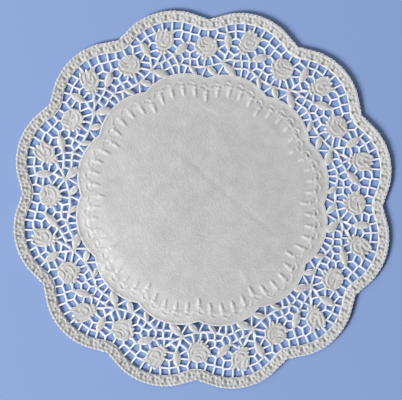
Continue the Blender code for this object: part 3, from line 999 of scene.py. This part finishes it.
def depth_share(places, pattern):
    """How strong the painted shade is at each place: full at the bottom of a border's pit."""
    pits = domes(places, pattern.pressed)[0] * (depth_in_border(places) < BORDER_WIDTH)
    return np.clip(pits / PIT.height, 0, 1) ** PIT_FADE


def keep_cut_edges_sharp(mesh, sides, count):
    """The edges between the face, the back and the cuts stay crisp under smooth shading."""
    ends = np.zeros(len(mesh.edges) * 2, np.int64)
    mesh.edges.foreach_get("vertices", ends)
    rim = np.concatenate([np.stack(side, axis=1) for side in sides])
    rim = np.concatenate([rim, rim + count])
    # One number for each pair of corners.
    number = (2 * count, 1)
    crisp = np.isin(np.sort(ends.reshape(-1, 2), axis=1) @ number, np.sort(rim, axis=1) @ number)
    mesh.attributes.new("sharp_edge", "BOOLEAN", "EDGE").data.foreach_set("value", crisp)


def slow_shape(places):
    """The sheet's own slow shape: a domed middle, a low swell around it and a lifted edge."""
    reach = np.hypot(*places.T)
    share = np.minimum(reach / DOME_RADIUS, 1) ** DOME_FULLNESS
    dome = DOME_HEIGHT * np.cos(math.pi / 2 * share) ** 2
    lace_width = TIP_RADIUS - BORDER_WIDTH - DOME_RADIUS
    rise = LACE_RISE * np.clip((reach - DOME_RADIUS) / lace_width, 0, 1)
    swell = SWELL_HEIGHT * np.exp(-((reach - SWELL_RADIUS) / SWELL_HALF) ** 2)
    depth = depth_in_border(np.stack([-places[:, 1], places[:, 0]], axis=1))
    edge = EDGE_LIFT * np.clip(1 - depth / BORDER_WIDTH, 0, 1) * (reach > DOME_RADIUS)
    return dome + rise + swell + edge


def cockle(places):
    """The slow waves and the soft creases that paper keeps when it lies loose."""
    x, y = places.T
    # The waves are 140 to 200 mm long.
    waves = np.sin(x / 23 + 0.7) * np.cos(y / 31 - 0.4) + np.sin((x + y) / 41 + 1.9)
    height = WAVE_HEIGHT * (2 + waves)
    for crease in CREASES:
        rows = np.array(Run(crease.places, 2, 1, crease_like, step=4.0).stretches())
        off, along = measured(places, rows)
        x0, y0, x1, y1, share0, share1 = rows.T[:6]
        on_left = (x1 - x0) * (y[:, None] - y0) > (y1 - y0) * (x[:, None] - x0)
        share = share0 + (share1 - share0) * along
        reach = np.minimum(off / np.where(on_left, crease.left, crease.right), 1)
        height += crease.height * (share * (1 - reach ** 2) ** 2).max(axis=1)
    return height


# -------- materials

def linear(hex_colour):
    """An sRGB hex value as the linear colour that a shader takes."""
    parts = [int(hex_colour[i:i + 2], 16) / 255 for i in (1, 3, 5)]
    return [part / 12.92 if part <= 0.04045 else ((part + 0.055) / 1.055) ** 2.4
            for part in parts] + [1]


def add_node(tree, kind, settings=(), links=()):
    """A node with its settings, an input's value or a property, and its inputs' links."""
    node = tree.nodes.new(kind)
    for name, value in dict(settings).items():
        if name in node.inputs:
            node.inputs[name].default_value = value
        else:
            setattr(node, name, value)
    for name, source in dict(links).items():
        tree.links.new(source, node.inputs[name])
    return node


def new_material(name):
    material = bpy.data.materials.new(name)
    material.use_nodes = True
    material.node_tree.nodes.clear()
    return material, material.node_tree


def shown(tree, shader):
    add_node(tree, "ShaderNodeOutputMaterial", (), {"Surface": shader.outputs["BSDF"]})


def mixed(tree, share, start, end):
    """A mix of two colours, each a linear colour or a node's output."""
    mix = add_node(tree, "ShaderNodeMix", {"data_type": "RGBA"}, {"Factor": share})
    for socket, colour in ((mix.inputs[6], start), (mix.inputs[7], end)):
        if isinstance(colour, list):
            socket.default_value = colour
        else:
            tree.links.new(colour, socket)
    return mix.outputs[2]


def share_at(tree, name):
    """A share that the mesh gives at each of its corners."""
    return add_node(tree, "ShaderNodeAttribute", {"attribute_name": name}).outputs["Fac"]


def embossing_paper():
    """Bleached, uncoated paper: matt and a little cloudy, with fibres that a bump shows.

    It has a painted highlight where it is narrow between openings, along the middle's edge and on
    the tops of the drops, and painted shade at the bottom of a pit.
    """
    material, tree = new_material("embossing_paper")
    place = add_node(tree, "ShaderNodeTexCoord").outputs["Object"]
    # The clouds have smaller ones in them, down to 0.4 mm, and the grains down to 0.1 mm.
    clouds = add_node(tree, "ShaderNodeTexNoise", {"Scale": CLOUDS, "Detail": 5, "Roughness": 0.8},
                      {"Vector": place})
    thick = add_node(tree, "ShaderNodeMapRange", {"From Min": 0.3, "From Max": 0.7},
                     {"Value": clouds.outputs["Fac"]})
    tone = mixed(tree, thick.outputs["Result"], linear(PAPER_SHADE), linear(PAPER_TONE))
    # Painted highlight on the bars, the middle's edge and the drops' tops, then painted shade in
    # the pits.
    tone = mixed(tree, share_at(tree, "painted_highlight"), tone, linear(PAPER_HIGHLIGHT))
    tone = mixed(tree, share_at(tree, "painted_pit_shade"), tone, linear(PAPER_PIT_SHADE))
    fibres = add_node(tree, "ShaderNodeTexNoise", {"Scale": GRAINS, "Detail": 4, "Roughness": 0.7},
                      {"Vector": place})
    bump = add_node(tree, "ShaderNodeBump", {"Strength": 1.0, "Distance": GRAIN_DEPTH * MM},
                    {"Height": fibres.outputs["Fac"]})
    shader = add_node(tree, "ShaderNodeBsdfPrincipled", {"Roughness": 0.85, "IOR": 1.45},
                      {"Base Color": tone, "Normal": bump.outputs["Normal"]})
    shown(tree, shader)
    return material


def painted_table():
    """Matt paint, pale blue, so that the openings read darker than the paper."""
    material, tree = new_material("matt_paint")
    shader = add_node(tree, "ShaderNodeBsdfPrincipled", {"Roughness": 0.8})
    shader.inputs["Base Color"].default_value = linear(TABLE_BLUE)
    shown(tree, shader)
    return material


# -------- the scene

def new_object(name, data):
    made = bpy.data.objects.new(name, data)
    bpy.context.scene.collection.objects.link(made)
    return made


def table_top():
    mesh = bpy.data.meshes.new("table_top")
    sides = ((-1, -1), (1, -1), (1, 1), (-1, 1))
    mesh.from_pydata([(x * TABLE_HALF, y * TABLE_HALF, 0) for x, y in sides], [], [(0, 1, 2, 3)])
    mesh.materials.append(painted_table())
    new_object("table_top", mesh)


def soft_light(name, lamp):
    """A square soft light that looks at the doily."""
    light = bpy.data.lights.new(name, "AREA")
    light.size = lamp.size
    light.energy = lamp.watts
    angle, elevation = math.radians(lamp.angle), math.radians(lamp.elevation)
    away = Vector((math.cos(angle) * math.cos(elevation), math.sin(angle) * math.cos(elevation),
                   math.sin(elevation)))
    placed = new_object(name, light)
    placed.location = away * lamp.distance
    placed.rotation_euler = away.to_track_quat("Z", "Y").to_euler()


def studio():
    world = bpy.data.worlds.new("studio")
    world.use_nodes = True
    background = world.node_tree.nodes["Background"]
    background.inputs["Color"].default_value = linear(STUDIO_WHITE)
    background.inputs["Strength"].default_value = STUDIO_STRENGTH
    bpy.context.scene.world = world
    bpy.context.scene.view_settings.view_transform = "Standard"
    soft_light("key", KEY_LAMP)
    soft_light("fill", FILL_LAMP)


def camera_above():
    """Straight above the doily, which fills the frame and is turned a little in it."""
    camera = new_object("camera", bpy.data.cameras.new("camera"))
    turn = math.radians(-CAMERA_TURN)
    aside = Matrix.Rotation(turn, 3, "Z") @ Vector(CAMERA_ASIDE) * MM
    camera.location = aside + Vector((0, 0, CAMERA_HEIGHT))
    camera.rotation_euler = (0, 0, turn)
    camera.data.sensor_width = SENSOR
    camera.data.lens = SENSOR * CAMERA_HEIGHT / FRAME_WIDTH
    bpy.context.scene.camera = camera


def main():
    doily = new_object("doily_paper", paper_sheet(*one_repeat()))
    doily.data.materials.append(embossing_paper())
    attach(doily, "root")
    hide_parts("doily")
    table_top()
    studio()
    camera_above()


main()
